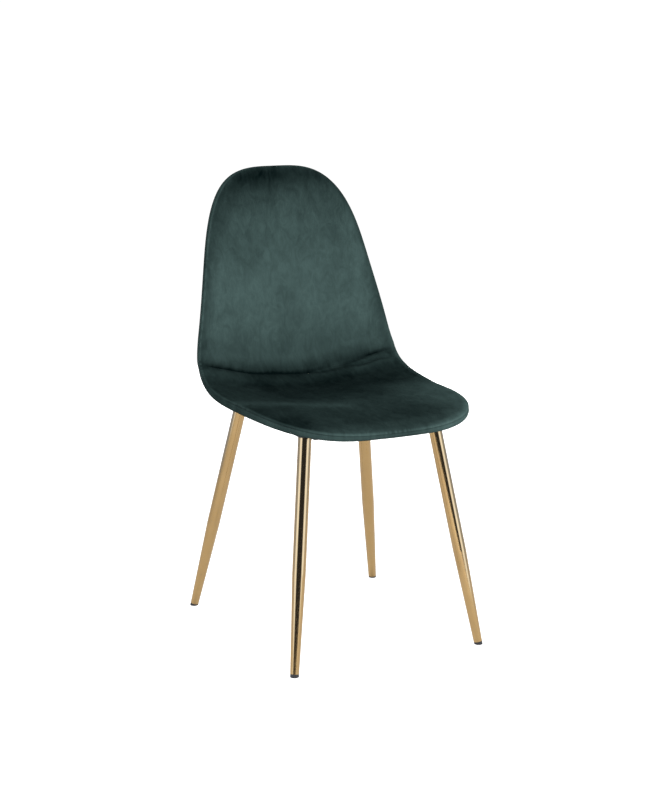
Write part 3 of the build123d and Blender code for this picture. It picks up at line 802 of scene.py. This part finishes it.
def add_softbox(name, azimuth, elevation, distance, size, power, aim=(0, 0, 0.55)):
    """Soft light at an azimuth from the camera's side, aimed at the chair and unseen in reflections."""
    light = bpy.data.lights.new(name, "AREA")
    light.shape = "RECTANGLE"
    light.size, light.size_y = size
    light.energy = power
    towards = math.atan2(CAMERA_PLACE.y, CAMERA_PLACE.x) + math.radians(azimuth)
    flat = distance * math.cos(math.radians(elevation))
    rise = distance * math.sin(math.radians(elevation))
    lamp = bpy.data.objects.new(name, light)
    lamp.location = Vector(aim) + Vector((flat * math.cos(towards), flat * math.sin(towards), rise))
    lamp.rotation_euler = (Vector(aim) - lamp.location).to_track_quat("-Z", "Y").to_euler()
    lamp.visible_glossy = False
    bpy.context.scene.collection.objects.link(lamp)


def ramp(nodes, stops):
    """Input and output sockets of a curve through (value from -1 to 1, strength) stops."""
    top = max(strength for value, strength in stops)
    spread_out = nodes.new("ShaderNodeMapRange")
    spread_out.inputs["From Min"].default_value = -1
    colours = nodes.new("ShaderNodeValToRGB")
    while len(colours.color_ramp.elements) < len(stops):
        colours.color_ramp.elements.new(0.5)
    for element, (value, strength) in zip(colours.color_ramp.elements, stops):
        element.position = (value + 1) / 2
        element.color = (strength / top,) * 3 + (1,)
    scale = nodes.new("ShaderNodeMath")
    scale.operation = "MULTIPLY"
    scale.inputs[1].default_value = top
    spread_out.id_data.links.new(spread_out.outputs[0], colours.inputs[0])
    spread_out.id_data.links.new(colours.outputs[0], scale.inputs[0])
    return spread_out.inputs["Value"], scale.outputs[0]


# strength of the room's light against the cosine of the angle from the camera's side, all round:
# a dark room behind the camera, a bright screen to each side of it, and plain white beyond
ROOM_AROUND = [(-1.0, 0.50), (0.10, 0.60), (0.34, 2.00), (0.69, 2.00), (0.80, 0.05), (1.0, 0.05)]
# the share of that strength against how far up a ray points
ROOM_BY_HEIGHT = [(-1.0, 1.0), (0.45, 1.0), (0.75, 0.30), (1.0, 0.30)]
BACKDROP_STRENGTH = 1.05
REFLECTION_TINT = (0.88, 1.06, 1.50, 1)            # the metal's view of the room is cooler than the backdrop


def facing_camera(nodes, link, direction):
    """Socket with the cosine of the level angle between a direction and the camera's side."""
    level = nodes.new("ShaderNodeVectorMath")
    level.operation = "MULTIPLY"
    level.inputs[1].default_value = (1, 1, 0)
    unit = nodes.new("ShaderNodeVectorMath")
    unit.operation = "NORMALIZE"
    towards = nodes.new("ShaderNodeVectorMath")
    towards.operation = "DOT_PRODUCT"
    towards.inputs[1].default_value = Vector((CAMERA_PLACE.x, CAMERA_PLACE.y, 0)).normalized()
    link(direction, level.inputs[0])
    link(level.outputs[0], unit.inputs[0])
    link(unit.outputs[0], towards.inputs[0])
    return towards.outputs["Value"]


def room_strength(nodes, link):
    """Socket with the strength of the room's light in each direction."""
    direction = nodes.new("ShaderNodeTexCoord").outputs["Generated"]
    around_in, around_out = ramp(nodes, ROOM_AROUND)
    link(facing_camera(nodes, link, direction), around_in)
    height = nodes.new("ShaderNodeSeparateXYZ")
    link(direction, height.inputs[0])
    height_in, height_out = ramp(nodes, ROOM_BY_HEIGHT)
    link(height.outputs["Z"], height_in)
    strength = nodes.new("ShaderNodeMath")
    strength.operation = "MULTIPLY"
    link(around_out, strength.inputs[0])
    link(height_out, strength.inputs[1])
    return strength.outputs[0]


def studio_world():
    """White backdrop. The metal reflects a dark room behind the camera and bright screens to either side."""
    world = bpy.data.worlds.new("studio")
    world.use_nodes = True
    nodes, link = world.node_tree.nodes, world.node_tree.links.new
    rays = nodes.new("ShaderNodeLightPath")
    tint = nodes.new("ShaderNodeMix")
    tint.data_type = "RGBA"
    tint.inputs[MIX_A].default_value = WHITE
    tint.inputs[MIX_B].default_value = REFLECTION_TINT
    link(rays.outputs["Is Glossy Ray"], tint.inputs["Factor"])
    room = nodes["Background"]
    link(tint.outputs[MIX_RESULT], room.inputs["Color"])
    link(room_strength(nodes, link), room.inputs["Strength"])
    backdrop = nodes.new("ShaderNodeBackground")
    backdrop.inputs["Color"].default_value = WHITE
    backdrop.inputs["Strength"].default_value = BACKDROP_STRENGTH
    choose = nodes.new("ShaderNodeMixShader")
    link(rays.outputs["Is Camera Ray"], choose.inputs[0])
    link(room.outputs[0], choose.inputs[1])
    link(backdrop.outputs[0], choose.inputs[2])
    link(choose.outputs[0], nodes["World Output"].inputs["Surface"])
    bpy.context.scene.world = world


add_camera()
add_floor()
studio_world()
add_softbox("key_softbox", azimuth=8, elevation=24, distance=3.2, size=(1.8, 1.4), power=150)
add_softbox("rear_softbox", azimuth=175, elevation=22, distance=3.0, size=(2.2, 1.6), power=80)
bpy.context.scene.view_settings.view_transform = "Standard"
